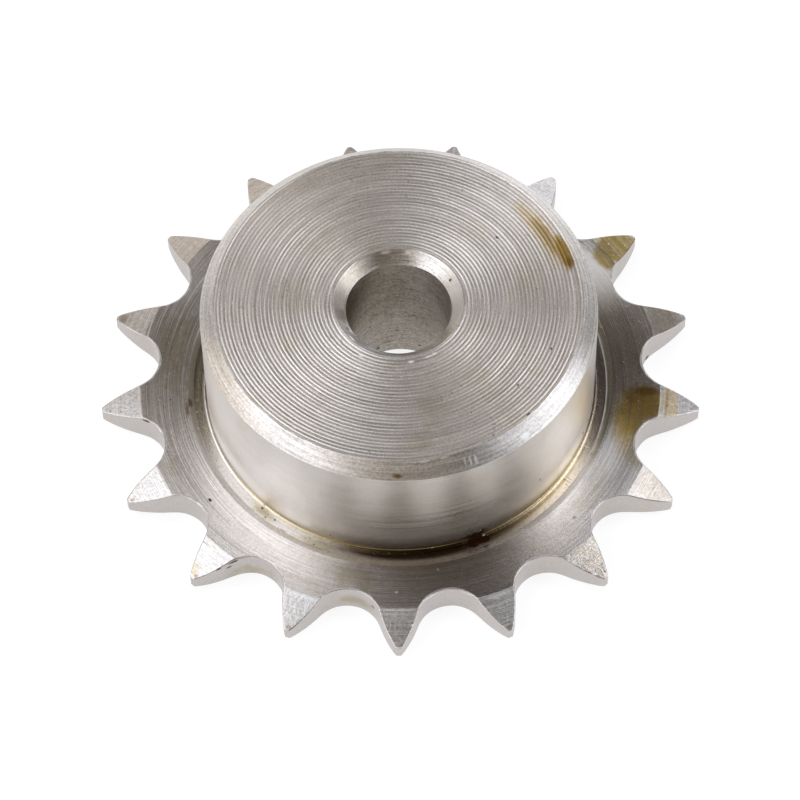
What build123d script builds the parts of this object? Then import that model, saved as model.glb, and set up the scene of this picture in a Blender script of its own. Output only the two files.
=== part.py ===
from build123d import *

import os
from math import cos, radians, sin

# Chain sprocket for simplex roller chain, turned in one piece with a plain hub on one side.
#
# The bore runs along Z. The middle plane of the teeth, where the chain runs, is Z = 0, the hub
# stands on the +Z side and one tooth points along -Y. All sizes are in millimetres and degrees.

# Chain and teeth
TOOTH_COUNT = 17
CHAIN_PITCH = 8.0
ROLLER_DIAMETER = 5.0
ROLLER_PLAY = 0.15  # how much larger the seat's radius is than the roller's
SEAT_ANGLE = 127.0  # stretch of the roller seat, seen from its own centre
FLANK_RADIUS = 11.4
TOOTH_CROWN = 1.73  # height of the tips over the pitch circle

# Toothed plate
TOOTH_WIDTH = 2.6
BEVEL_WIDTH = 3.1  # radial width of the bevel on each side of the teeth
BEVEL_DEPTH = 0.73  # what the bevel takes off each side at the tip

# Hub
OVERALL_LENGTH = 13.8
RIM_BELOW_ROOTS = 3.9  # plate left between the hub and the tooth roots
HUB_CHAMFER = 1.1
HUB_FILLET = 0.35

# Facing recess round the foot of the hub
RECESS_WIDTH = 1.0  # flat floor, measured from the hub's wall
RECESS_SLOPE = 0.5  # radial width of the sloped outer wall
RECESS_DEPTH = 0.15

# Bore
BORE_DIAMETER = 8.1
BORE_CHAMFER = 0.9

# Places that follow from the sizes above
TOOTH_STEP = 360.0 / TOOTH_COUNT
PITCH_RADIUS = CHAIN_PITCH / (2 * sin(radians(TOOTH_STEP / 2)))
SEAT_RADIUS = ROLLER_DIAMETER / 2 + ROLLER_PLAY
ROOT_RADIUS = PITCH_RADIUS - SEAT_RADIUS
TIP_RADIUS = PITCH_RADIUS + TOOTH_CROWN
HUB_RADIUS = ROOT_RADIUS - RIM_BELOW_ROOTS
BORE_RADIUS = BORE_DIAMETER / 2
FRONT_FACE = TOOTH_WIDTH / 2
BACK_FACE = -TOOTH_WIDTH / 2
HUB_END = BACK_FACE + OVERALL_LENGTH


def turned_blank() -> Part:
    """Return the blank as it leaves the lathe, bored but still without tooth gaps."""
    bevel_start = TIP_RADIUS - BEVEL_WIDTH
    recess_floor = FRONT_FACE - RECESS_DEPTH
    floor_edge = HUB_RADIUS + RECESS_WIDTH
    with BuildPart() as blank:
        with BuildSketch(Plane.XZ) as section:
            with BuildLine():
                hub_side = Polyline(
                    (HUB_RADIUS, recess_floor + HUB_FILLET),
                    (HUB_RADIUS, HUB_END - HUB_CHAMFER),
                    (HUB_RADIUS - HUB_CHAMFER, HUB_END),
                    (BORE_RADIUS + BORE_CHAMFER, HUB_END),
                    (BORE_RADIUS, HUB_END - BORE_CHAMFER),
                    (BORE_RADIUS, BACK_FACE + BORE_CHAMFER),
                    (BORE_RADIUS + BORE_CHAMFER, BACK_FACE),
                    (bevel_start, BACK_FACE),
                    (TIP_RADIUS, BACK_FACE + BEVEL_DEPTH),
                    (TIP_RADIUS, FRONT_FACE - BEVEL_DEPTH),
                    (bevel_start, FRONT_FACE),
                    (floor_edge + RECESS_SLOPE, FRONT_FACE),
                    (floor_edge, recess_floor),
                    (HUB_RADIUS + HUB_FILLET, recess_floor),
                )
                RadiusArc(hub_side @ 1, hub_side @ 0, HUB_FILLET)
            make_face()
        revolve(axis=Axis.Z)
    return blank.part


def tooth_gap() -> Part:
    """Return the cutter for the gap on the +X side: a roller seat that opens into two flanks."""
    seat_reach = radians(SEAT_ANGLE / 2)
    seat_end = (
        PITCH_RADIUS - SEAT_RADIUS * cos(seat_reach),
        SEAT_RADIUS * sin(seat_reach),
    )
    flank_centre = (
        PITCH_RADIUS - (SEAT_RADIUS + FLANK_RADIUS) * cos(seat_reach),
        (SEAT_RADIUS + FLANK_RADIUS) * sin(seat_reach),
    )
    flank_middle = (
        flank_centre[0] + FLANK_RADIUS * cos(seat_reach / 2),
        flank_centre[1] - FLANK_RADIUS * sin(seat_reach / 2),
    )
    flank_end = (flank_centre[0] + FLANK_RADIUS, flank_centre[1])
    with BuildPart() as gap:
        with BuildSketch():
            with BuildLine():
                ThreePointArc(mirrored(seat_end), (ROOT_RADIUS, 0), seat_end)
                ThreePointArc(seat_end, flank_middle, flank_end)
                Line(flank_end, mirrored(flank_end))
                ThreePointArc(mirrored(flank_end), mirrored(flank_middle), mirrored(seat_end))
            make_face()
        extrude(amount=TOOTH_WIDTH, both=True)
    return gap.part


def mirrored(point: tuple[float, float]) -> tuple[float, float]:
    """Return the point on the other side of the gap's middle line."""
    return point[0], -point[1]


def sprocket() -> Part:
    """Return the finished sprocket."""
    first_gap = -90 + TOOTH_STEP / 2
    with BuildPart() as body:
        add(turned_blank())
        with PolarLocations(0, TOOTH_COUNT, start_angle=first_gap):
            add(tooth_gap(), mode=Mode.SUBTRACT)
    return body.part


os.makedirs("parts", exist_ok=True)
export_step(sprocket(), "parts/sprocket.step")
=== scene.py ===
import sys
import logging
import math
from dataclasses import dataclass, field
from enum import Enum

import bpy
import numpy as np
from mathutils import Matrix, Vector


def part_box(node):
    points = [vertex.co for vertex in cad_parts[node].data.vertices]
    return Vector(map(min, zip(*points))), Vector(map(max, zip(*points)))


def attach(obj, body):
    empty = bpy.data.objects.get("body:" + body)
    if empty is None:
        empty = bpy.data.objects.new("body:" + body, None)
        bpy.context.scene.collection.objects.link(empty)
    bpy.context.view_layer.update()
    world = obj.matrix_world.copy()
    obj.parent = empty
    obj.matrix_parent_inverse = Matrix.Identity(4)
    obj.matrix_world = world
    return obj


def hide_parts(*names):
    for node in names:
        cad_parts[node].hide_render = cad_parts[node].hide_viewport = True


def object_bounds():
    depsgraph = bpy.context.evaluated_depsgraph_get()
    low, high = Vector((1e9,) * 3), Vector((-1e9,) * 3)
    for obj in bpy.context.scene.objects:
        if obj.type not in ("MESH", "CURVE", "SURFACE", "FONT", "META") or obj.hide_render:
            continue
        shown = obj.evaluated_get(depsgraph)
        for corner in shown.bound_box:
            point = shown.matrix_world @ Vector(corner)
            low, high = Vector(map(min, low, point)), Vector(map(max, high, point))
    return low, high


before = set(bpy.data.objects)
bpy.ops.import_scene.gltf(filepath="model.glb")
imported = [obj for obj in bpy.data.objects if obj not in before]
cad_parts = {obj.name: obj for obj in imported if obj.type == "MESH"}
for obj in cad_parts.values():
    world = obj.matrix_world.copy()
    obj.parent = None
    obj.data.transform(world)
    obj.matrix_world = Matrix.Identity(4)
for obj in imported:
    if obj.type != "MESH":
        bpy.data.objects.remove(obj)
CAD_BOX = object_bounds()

# Chain sprocket turned from one piece of steel. Sizes are in millimetres until a mesh is made, which is in
# metres. Angles are in degrees in the fields and in radians where they are worked with. A turn of 0 points
# along -Y and grows towards +X.

MM = 0.001
SEED = 17
ORIGIN = (0.0, 0.0, 0.0)
log = logging.getLogger("sprocket")

Socket = bpy.types.NodeSocket
Link = Socket | float | tuple
Outputs = bpy.types.bpy_prop_collection


class Finish(Enum):
    """The machined surfaces of the sprocket, one material each, numbered as the mesh counts them."""

    BACK = 0
    BORE = 1
    END_FACE = 2
    CHAMFER = 3
    HUB_WALL = 4
    RECESS = 5
    PLATE = 6
    BEVEL = 7
    GAP = 8


@dataclass(frozen=True)
class MarkLook:
    """What a mark turns the steel into: its colour, how metallic and how rough it is.

    A clear mark only tints the steel and the tool's marks under it, and any other one covers them.
    """

    colour: tuple[float, float, float]
    metallic: float = 1.0
    roughness: float = 0.4
    clear: bool = False


class Kind(Enum):
    """The kinds of marks on the steel, stains, rust, pits and chips and also painted shade and light, in the
    order in which they lie on each other.
    """

    # Lighter, rougher steel: worn patches, and painted light on the bore's chamfer and in a thin highlight
    # line in the recess.
    WORN_AND_PAINTED_LIGHT = MarkLook((0.8, 0.78, 0.75), roughness=0.5)
    OLIVE = MarkLook((0.68, 0.63, 0.42), clear=True)
    GOLD = MarkLook((0.93, 0.76, 0.46), clear=True)
    AMBER = MarkLook((0.52, 0.4, 0.13), clear=True)
    TAN = MarkLook((0.9, 0.66, 0.17), clear=True)
    BROWN = MarkLook((0.28, 0.17, 0.07), clear=True)
    # Painted shade: a grey that dims highlights and bright areas on many surfaces.
    PAINTED_SHADE = MarkLook((0.66, 0.62, 0.58), clear=True)
    # Dark grime in places, and painted shade where it dims highlights and darkens the recess and the plate.
    GRIME_AND_PAINTED_SHADE = MarkLook((0.3, 0.27, 0.2), clear=True)
    RUST = MarkLook((0.035, 0.012, 0.005), roughness=0.6)
    PIT = MarkLook((0.08, 0.07, 0.06), metallic=0.4, roughness=0.6)
    # Nearly white steel: chips whose glint is painted into the colour, and painted highlights along edges and
    # lines.
    NICK_AND_PAINTED_GLINT = MarkLook((0.95, 0.94, 0.92), roughness=0.5)


@dataclass(frozen=True)
class Mark:
    """One patch on the steel, whose middle lies at a turn angle and at a place across the surface.

    The place is a radius, or a height where the finish runs along the axis. The arc is half of the
    patch's length round the axis and the width half of its width across. Its rim fades over the share of
    its size in fade, and wanders in and out by the share in ragged.
    """

    angle: float
    place: float
    arc: float
    width: float
    strength: float = 1.0
    fade: float = 0.5
    ragged: float = 0.8


@dataclass(frozen=True)
class MachinedSteel:
    """How one machined surface of the sprocket looks.

    The marks of the tool run round the axis. Across them they are counted along the radius, or along the
    axis where along_axis is set. The shades are the shares by which streaks, lines and grain change the
    colour and by which the bottoms of the facing grooves darken it, and film is how far a thin coat of old
    oil turns it to olive.
    """

    tint: tuple[float, float, float] = (0.655, 0.622, 0.59)
    roughness: float = 0.3
    anisotropy: float = 0.0
    mark_pitch: float = 0.15
    mark_height: float = 0.0
    streak_height: float = 0.0
    streak_shade: float = 0.1
    line_shade: float = 0.0
    grain_pitch: float = 0.2
    grain_height: float = 0.001
    grain_shade: float = 0.1
    groove_shade: float = 0.0
    pit_size: float = 0.05
    nick_size: float = 0.04
    film: float = 0.15
    along_axis: bool = False
    marks: dict[Kind, list[Mark]] = field(default_factory=dict)


# The marks of each surface by kind: turn angle, place, arc and width, then strength, fade and ragged where
# they aren't the usual ones.

END_MARKS = {
    Kind.OLIVE: [Mark(6.5, 12.7, 1.3, 0.7, 0.3), Mark(16, 9.7, 1.2, 0.8, 0.3),
        Mark(98.8, 10.1, 1.6, 1.5, 0.25, 0.8), Mark(-95, 8.0, 1.2, 1.6, 0.25, 0.8)],
    Kind.GOLD: [Mark(110.6, 13.42, 1.7, 0.56, 1.0, 0.2, 0.15), Mark(120.2, 12.8, 3.0, 0.7, 0.85, 0.5, 0.2)],
    Kind.AMBER: [Mark(110.0, 13.45, 1.6, 0.45, 1.0, 0.4, 0.2),
        Mark(118.0, 12.85, 1.8, 0.35, 0.75, 0.6, 0.3)],
    Kind.BROWN: [Mark(105.4, 13.65, 0.5, 0.28, 0.5, 0.6, 0.3)],
    # Painted shade: broad grey patches that dim the end face on the right, the front right and the front
    # left.
    Kind.PAINTED_SHADE: [Mark(98, 10.5, 6.0, 3.4, 0.4, 0.9, 0.1), Mark(50, 10.5, 4.0, 3.4, 0.3, 0.9, 0.1),
        Mark(-62, 10.5, 7.0, 3.4, 0.25, 0.9, 0.1)],
    Kind.PIT: [Mark(50.4, 11.7, 0.13, 0.1), Mark(128.4, 9.6, 0.12, 0.1), Mark(44.4, 14.05, 0.2, 0.14),
        Mark(70.0, 12.3, 0.1, 0.08)],
    Kind.NICK_AND_PAINTED_GLINT: [Mark(10.4, 5.45, 0.22, 0.12), Mark(25.0, 5.4, 0.3, 0.1), Mark(30.4, 5.4, 0.2, 0.1),
        Mark(-30.0, 5.6, 0.2, 0.08)],
}
CHAMFER_MARKS = {
    # Painted light: lightens the bore's chamfer on the left and the right.
    Kind.WORN_AND_PAINTED_LIGHT: [Mark(-95, 4.5, 2.4, 0.7, 0.7, 0.9, 0.4), Mark(95, 4.5, 1.8, 0.7, 1.0, 0.9, 0.4)],
    Kind.GOLD: [Mark(-118, 4.5, 3.2, 0.8, 0.35, 0.8, 0.3)],
    Kind.AMBER: [Mark(-0.1, 14.92, 0.55, 0.16, 0.9, 0.4)],
    Kind.BROWN: [Mark(0.5, 14.95, 0.5, 0.14, 0.5)],
    # Painted shade: dims the bore's chamfer at the back left.
    Kind.PAINTED_SHADE: [Mark(-142, 4.6, 0.6, 0.3, 0.6, 0.8, 0.9), Mark(-160, 4.5, 2.0, 0.6, 0.8, 0.9, 0.3)],
    # Darker patches on the bore's chamfer at the front left.
    Kind.GRIME_AND_PAINTED_SHADE: [Mark(-48, 4.4, 1.0, 0.4, 0.5, 0.8, 0.4), Mark(-80, 4.4, 0.5, 0.35, 0.6, 0.8, 0.6)],
    Kind.RUST: [Mark(-0.6, 14.94, 0.3, 0.1, 0.3)],
    Kind.PIT: [Mark(175, 4.3, 0.5, 0.05, 0.7, 0.6, 0.9), Mark(-168, 4.45, 0.3, 0.05, 0.7, 0.6, 0.9),
        Mark(-75, 4.6, 0.3, 0.3, 0.5, 0.8, 1.0), Mark(120, 4.55, 0.1, 0.1),
        Mark(-62, 4.3, 0.16, 0.12, 0.8, 0.6, 0.9)],
    Kind.NICK_AND_PAINTED_GLINT: [Mark(-155, 4.15, 0.4, 0.05, 0.5, 0.6, 0.9), Mark(-167, 4.8, 0.35, 0.08, 0.9, 0.6, 0.9),
        Mark(-60, 4.2, 0.3, 0.08, 0.8, 0.6, 0.9), Mark(172, 4.75, 0.2, 0.1, 0.9, 0.6, 0.9),
        Mark(-48, 4.7, 0.3, 0.1, 0.8, 0.6, 0.9), Mark(-0.2, 14.58, 0.14, 0.07, 0.6),
        Mark(39.5, 14.9, 0.3, 0.16, 0.8), Mark(20.0, 14.7, 0.1, 0.3, 0.8),
        Mark(21.6, 14.75, 0.08, 0.26, 0.8), Mark(23.2, 14.8, 0.08, 0.24, 0.8),
        Mark(8.0, 14.22, 0.3, 0.07, 0.8), Mark(14.0, 14.2, 0.35, 0.06, 0.8)],
}
WALL_MARKS = {
    Kind.OLIVE: [Mark(45, 1.2, 8.0, 0.6, 0.6, 0.95, 0.3), Mark(-25, 1.2, 7.0, 1.2, 0.35, 0.95, 0.2),
        Mark(85, 2.0, 4.0, 1.2, 0.4, 0.9, 0.3)],
    Kind.GOLD: [Mark(18, 6.0, 9.0, 5.0, 0.2, 0.9, 0.1)],
    Kind.AMBER: [Mark(48, 1.15, 8.0, 0.14, 0.6, 0.8, 0.3)],
    Kind.BROWN: [Mark(6, 1.2, 7.0, 1.3, 0.45, 0.95, 0.3), Mark(12, 1.2, 6.5, 0.5, 0.7, 0.8, 0.2)],
    Kind.RUST: [Mark(22.3, 1.3, 0.95, 0.6, 0.95, 0.4, 1.0)],
    Kind.PIT: [Mark(79.8, 2.01, 0.13, 0.24), Mark(74.1, 2.19, 0.12, 0.22), Mark(69.1, 2.28, 0.12, 0.18),
        Mark(20.9, 2.77, 0.12, 0.1), Mark(28.9, 1.54, 0.12, 0.12), Mark(11.9, 2.11, 0.08, 0.08),
        Mark(-20.3, 1.81, 0.09, 0.09), Mark(45.2, 4.08, 0.08, 0.08)],
    # Thin bright lines near the top of the wall and specks by the rust, painted as glints.
    Kind.NICK_AND_PAINTED_GLINT: [Mark(33, 10.6, 1.6, 0.05, 0.35), Mark(12, 11.0, 1.2, 0.04, 0.35),
        Mark(20.4, 2.05, 0.08, 0.07, 0.6), Mark(22.6, 2.0, 0.1, 0.06, 0.6),
        Mark(24.2, 1.85, 0.08, 0.06, 0.6)],
}
RECESS_MARKS = {
    # Painted highlight: a thin light line at the foot of the slope on the right.
    Kind.WORN_AND_PAINTED_LIGHT: [Mark(88, 16.2, 5.5, 0.045, 0.8, 0.5, 0.05)],
    Kind.OLIVE: [Mark(-92, 15.9, 6.0, 0.45, 0.8, 0.7, 0.2), Mark(3, 15.3, 13.0, 0.14, 1.0, 0.5, 0.1),
        Mark(46, 15.58, 9.0, 0.1, 1.0, 0.5, 0.3), Mark(-42, 15.85, 1.2, 0.35, 0.8, 0.6),
        Mark(-22, 16.0, 1.6, 0.3, 0.8, 0.6)],
    Kind.GOLD: [Mark(48, 15.9, 9.0, 0.4, 0.5, 0.7, 0.3), Mark(35, 15.35, 15.0, 0.14, 0.8, 0.6, 0.1),
        Mark(-30, 15.35, 6.0, 0.14, 0.5, 0.8, 0.1)],
    Kind.AMBER: [Mark(34, 15.62, 4.6, 0.18, 0.8, 0.7, 0.25)],
    Kind.BROWN: [Mark(86, 15.8, 4.5, 0.45, 0.5, 0.6, 0.2), Mark(8, 15.7, 6.6, 0.42, 0.9, 0.35, 0.1),
        Mark(-41, 15.85, 0.8, 0.3, 0.35, 0.7), Mark(-33.6, 16.2, 0.3, 0.08, 0.5, 0.6)],
    # Painted shade: dims the highlight in the fillet round the front.
    Kind.PAINTED_SHADE: [Mark(0, 15.32, 24.0, 0.1, 0.35, 0.5, 0.05)],
    # Painted shade over the slope on the right and the left, hiding its highlight, and a darker floor and
    # fillet in front.
    Kind.GRIME_AND_PAINTED_SHADE: [Mark(92, 16.56, 7.5, 0.29, 1.0, 0.35, 0.1), Mark(-92, 16.42, 7.0, 0.26, 0.6, 0.4, 0.1),
        Mark(6, 15.7, 5.0, 0.38, 0.85, 0.35, 0.08), Mark(4, 15.3, 9.0, 0.13, 0.5, 0.6, 0.1),
        Mark(27, 15.8, 3.0, 0.3, 0.5, 0.7, 0.1)],
    Kind.RUST: [Mark(22.1, 15.6, 0.95, 0.45, 1.0, 0.3, 0.9), Mark(-42.6, 15.62, 0.1, 0.08, 0.8),
        Mark(-37.3, 15.78, 0.09, 0.08, 0.8), Mark(-39.9, 16.05, 0.08, 0.07, 0.7),
        Mark(-24.0, 16.1, 0.08, 0.06, 0.7), Mark(-83, 16.6, 0.3, 0.2, 0.7)],
    Kind.PIT: [Mark(-84, 16.0, 0.1, 0.08, 0.8), Mark(-80, 16.1, 0.1, 0.08, 0.8),
        Mark(-76.5, 16.0, 0.09, 0.08, 0.8)],
    Kind.NICK_AND_PAINTED_GLINT: [Mark(25.0, 15.35, 0.1, 0.04, 0.7)],
}
PLATE_MARKS = {
    # Lighter, rougher patches on the plate at the back right and the right.
    Kind.WORN_AND_PAINTED_LIGHT: [Mark(123, 18.2, 2.6, 1.6, 0.45, 0.8, 0.2), Mark(68, 17.6, 2.2, 0.9, 0.2, 0.9, 0.2)],
    Kind.OLIVE: [Mark(-11, 17.9, 1.6, 0.9, 0.5), Mark(-100, 18.4, 2.6, 1.3, 0.6, 0.8, 1.0),
        Mark(55, 18.0, 2.5, 0.8, 0.3, 0.7), Mark(69.0, 19.8, 0.9, 0.8, 0.7, 0.7, 0.2)],
    Kind.AMBER: [Mark(125.4, 20.1, 1.3, 0.8, 1.0, 0.3, 0.2)],
    Kind.TAN: [Mark(84.0, 19.3, 1.5, 1.4, 1.0, 0.2, 0.15), Mark(80.2, 18.35, 2.5, 1.35, 1.0, 0.4, 0.2),
        Mark(76.5, 18.6, 2.4, 0.9, 0.7, 0.6, 0.3)],
    Kind.BROWN: [Mark(83.0, 19.2, 1.8, 1.2, 0.35, 0.8, 0.2), Mark(8, 18.0, 5.0, 1.6, 0.2, 0.9, 0.2),
        Mark(87.0, 19.3, 0.45, 1.1, 0.75, 0.6, 0.2), Mark(84.8, 18.1, 0.5, 0.55, 0.4, 0.7, 0.2),
        Mark(83.4, 20.35, 0.6, 0.22, 0.45, 0.7, 0.2), Mark(47.2, 18.3, 0.2, 0.16, 0.8),
        Mark(-88.7, 16.65, 0.5, 0.14, 0.7), Mark(-80.8, 16.85, 0.5, 0.12, 0.7)],
    # Painted shade: dims the plate on the right and the front right.
    Kind.PAINTED_SHADE: [Mark(99, 17.6, 5.6, 2.8, 1.0, 0.6, 0.2), Mark(34, 18.0, 4.0, 1.8, 0.4, 0.9, 0.2)],
    # Painted shade: dims the highlight at the rim of the recess on the right and the plate beside it.
    Kind.GRIME_AND_PAINTED_SHADE: [Mark(92, 16.8, 8.0, 0.12, 0.5, 0.4, 0.05), Mark(102, 17.7, 4.5, 2.4, 0.42, 0.8, 0.2)],
    Kind.PIT: [Mark(-53.3, 18.2, 0.16, 0.1), Mark(-98, 18.9, 0.1, 0.08), Mark(-84.5, 18.1, 0.1, 0.08),
        Mark(-79, 19.9, 0.14, 0.08)],
    Kind.NICK_AND_PAINTED_GLINT: [Mark(9.9, 17.3, 0.12, 0.09), Mark(-0.6, 19.0, 0.12, 0.08)],
}
BEVEL_MARKS = {
    Kind.OLIVE: [Mark(106, 21.6, 1.4, 1.4, 0.4)],
    Kind.GOLD: [Mark(84.5, 21.2, 1.3, 0.6, 0.8), Mark(-43.5, 22.9, 0.5, 0.5, 0.6),
        Mark(64, 21.8, 1.9, 1.7, 0.3), Mark(43, 21.9, 1.8, 1.8, 0.3)],
    Kind.AMBER: [Mark(84.6, 20.95, 1.1, 0.12, 0.6, 0.5, 0.3), Mark(127, 21.5, 1.9, 1.8, 1.0, 0.4, 0.3)],
    Kind.BROWN: [Mark(127.6, 20.9, 0.9, 0.5, 0.35, 0.7), Mark(-42.0, 23.2, 0.16, 0.14, 0.6),
        Mark(-63.2, 23.15, 0.14, 0.16, 0.6), Mark(21.4, 23.2, 0.3, 0.15, 0.5),
        Mark(-21.2, 23.2, 0.25, 0.2, 0.6), Mark(-105.5, 22.9, 0.4, 0.3, 0.5)],
    # Painted shade: dims the bevels of four teeth.
    Kind.PAINTED_SHADE: [Mark(106, 21.3, 2.2, 2.2, 1.0, 0.4, 0.2), Mark(64, 22.6, 1.4, 1.2, 0.3),
        Mark(0, 21.8, 1.7, 1.9, 0.45), Mark(42, 21.9, 1.7, 1.7, 0.35)],
    # Darker bevels on two teeth at the back right.
    Kind.GRIME_AND_PAINTED_SHADE: [Mark(127, 21.7, 2.0, 2.0, 0.4, 0.4, 0.3), Mark(106, 21.2, 2.2, 2.0, 0.3, 0.5, 0.2)],
    Kind.PIT: [Mark(-103.5, 20.62, 0.9, 0.07, 0.6, 0.6, 0.8)],
    # Chips, and thin painted highlights along the crease of four teeth.
    Kind.NICK_AND_PAINTED_GLINT: [Mark(2.8, 21.71, 0.16, 0.1), Mark(0.2, 23.45, 0.4, 0.08), Mark(40.8, 22.7, 0.16, 0.12),
        Mark(-63.5, 21.0, 0.9, 0.1, 0.5), Mark(-20.5, 20.7, 1.1, 0.18, 0.4),
        Mark(21.0, 20.65, 1.1, 0.16, 0.4), Mark(0.0, 20.55, 1.2, 0.05, 0.6),
        Mark(0.0, 20.85, 1.1, 0.04, 0.5)],
}
BORE_MARKS = {
    Kind.OLIVE: [Mark(-140, 8, 3.0, 3.0, 0.4)],
    Kind.BROWN: [Mark(160, 6, 3.0, 3.0, 0.25)],
    # A darker patch high on the bore's left wall.
    Kind.GRIME_AND_PAINTED_SHADE: [Mark(-102, 9.8, 2.4, 3.2, 0.9, 0.8, 0.4)],
    Kind.PIT: [Mark(-153.8, 0.41, 0.14, 0.14), Mark(-176.2, 2.39, 0.1, 0.1), Mark(158, 0.6, 0.12, 0.12)],
}
GAP_MARKS = {
    Kind.OLIVE: [Mark(-9.5, -0.2, 1.1, 0.6, 0.7, 0.8), Mark(-35.5, -0.6, 1.4, 0.5, 0.6, 0.8)],
    Kind.BROWN: [Mark(-37.5, 1.15, 0.4, 0.12, 0.5, 0.7)],
    Kind.PIT: [Mark(-79.8, 1.1, 0.13, 0.13), Mark(-38.0, 0.95, 0.15, 0.12), Mark(-38.5, 0.5, 0.09, 0.08),
        Mark(-39.5, 0.9, 0.09, 0.08), Mark(-5.8, 0.25, 0.14, 0.12), Mark(100.3, -0.95, 0.14, 0.16)],
    Kind.NICK_AND_PAINTED_GLINT: [Mark(15.0, 1.1, 0.4, 0.06), Mark(7.0, 1.1, 0.4, 0.06), Mark(-76.4, 1.2, 0.2, 0.08)],
}

STEEL = {
    Finish.BACK: MachinedSteel(
        roughness=0.26, anisotropy=0.8, mark_pitch=0.2, mark_height=0.003, streak_height=0.003,
        streak_shade=0.12, line_shade=0.15, film=0.3),
    Finish.BORE: MachinedSteel(
        tint=(0.47, 0.43, 0.385), roughness=0.42, anisotropy=0.5, mark_pitch=0.25, mark_height=0.006,
        streak_height=0.006, streak_shade=0.25, line_shade=-0.35, grain_shade=0.25, pit_size=0.06, film=0.4,
        along_axis=True, marks=BORE_MARKS),
    Finish.END_FACE: MachinedSteel(
        tint=(0.765, 0.717, 0.668), roughness=0.34, anisotropy=0.45, streak_height=0.001, streak_shade=0.07,
        grain_pitch=0.14, grain_height=0.0014, grain_shade=0.14, groove_shade=0.18, pit_size=0.045,
        nick_size=0.045, film=0.3, marks=END_MARKS),
    Finish.CHAMFER: MachinedSteel(
        tint=(0.7, 0.668, 0.635), roughness=0.34, anisotropy=0.6, mark_pitch=0.16, mark_height=0.0008,
        streak_height=0.0035, streak_shade=0.2, line_shade=0.12, grain_shade=0.18, nick_size=0.045,
        pit_size=0.035, film=0.05, marks=CHAMFER_MARKS),
    Finish.HUB_WALL: MachinedSteel(
        roughness=0.4, anisotropy=0.3, mark_pitch=0.12, mark_height=0.0002, streak_height=0.0006,
        streak_shade=0.05, line_shade=0.05, grain_height=0.0002, grain_shade=0.03, pit_size=0.02,
        nick_size=0.0, film=0.25, along_axis=True, marks=WALL_MARKS),
    Finish.RECESS: MachinedSteel(
        roughness=0.2, anisotropy=0.3, mark_pitch=0.12, mark_height=0.0004, streak_height=0.001,
        streak_shade=0.08, film=0.1, marks=RECESS_MARKS),
    Finish.PLATE: MachinedSteel(
        roughness=0.24, anisotropy=0.9, mark_height=0.0015, streak_height=0.0009, line_shade=0.24,
        grain_shade=0.08, pit_size=0.03, nick_size=0.02, film=0.25, marks=PLATE_MARKS),
    Finish.BEVEL: MachinedSteel(
        tint=(0.635, 0.608, 0.582), roughness=0.36, anisotropy=0.5, mark_height=0.001, streak_height=0.003,
        streak_shade=0.12, line_shade=0.16, grain_pitch=0.25, grain_height=0.003, grain_shade=0.14,
        pit_size=0.045, nick_size=0.045, film=0.1, marks=BEVEL_MARKS),
    Finish.GAP: MachinedSteel(
        tint=(0.61, 0.572, 0.55), roughness=0.35, grain_height=0.0006, grain_shade=0.05, streak_shade=0.03,
        pit_size=0.03, nick_size=0.0, along_axis=True, marks=GAP_MARKS),
}


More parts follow.
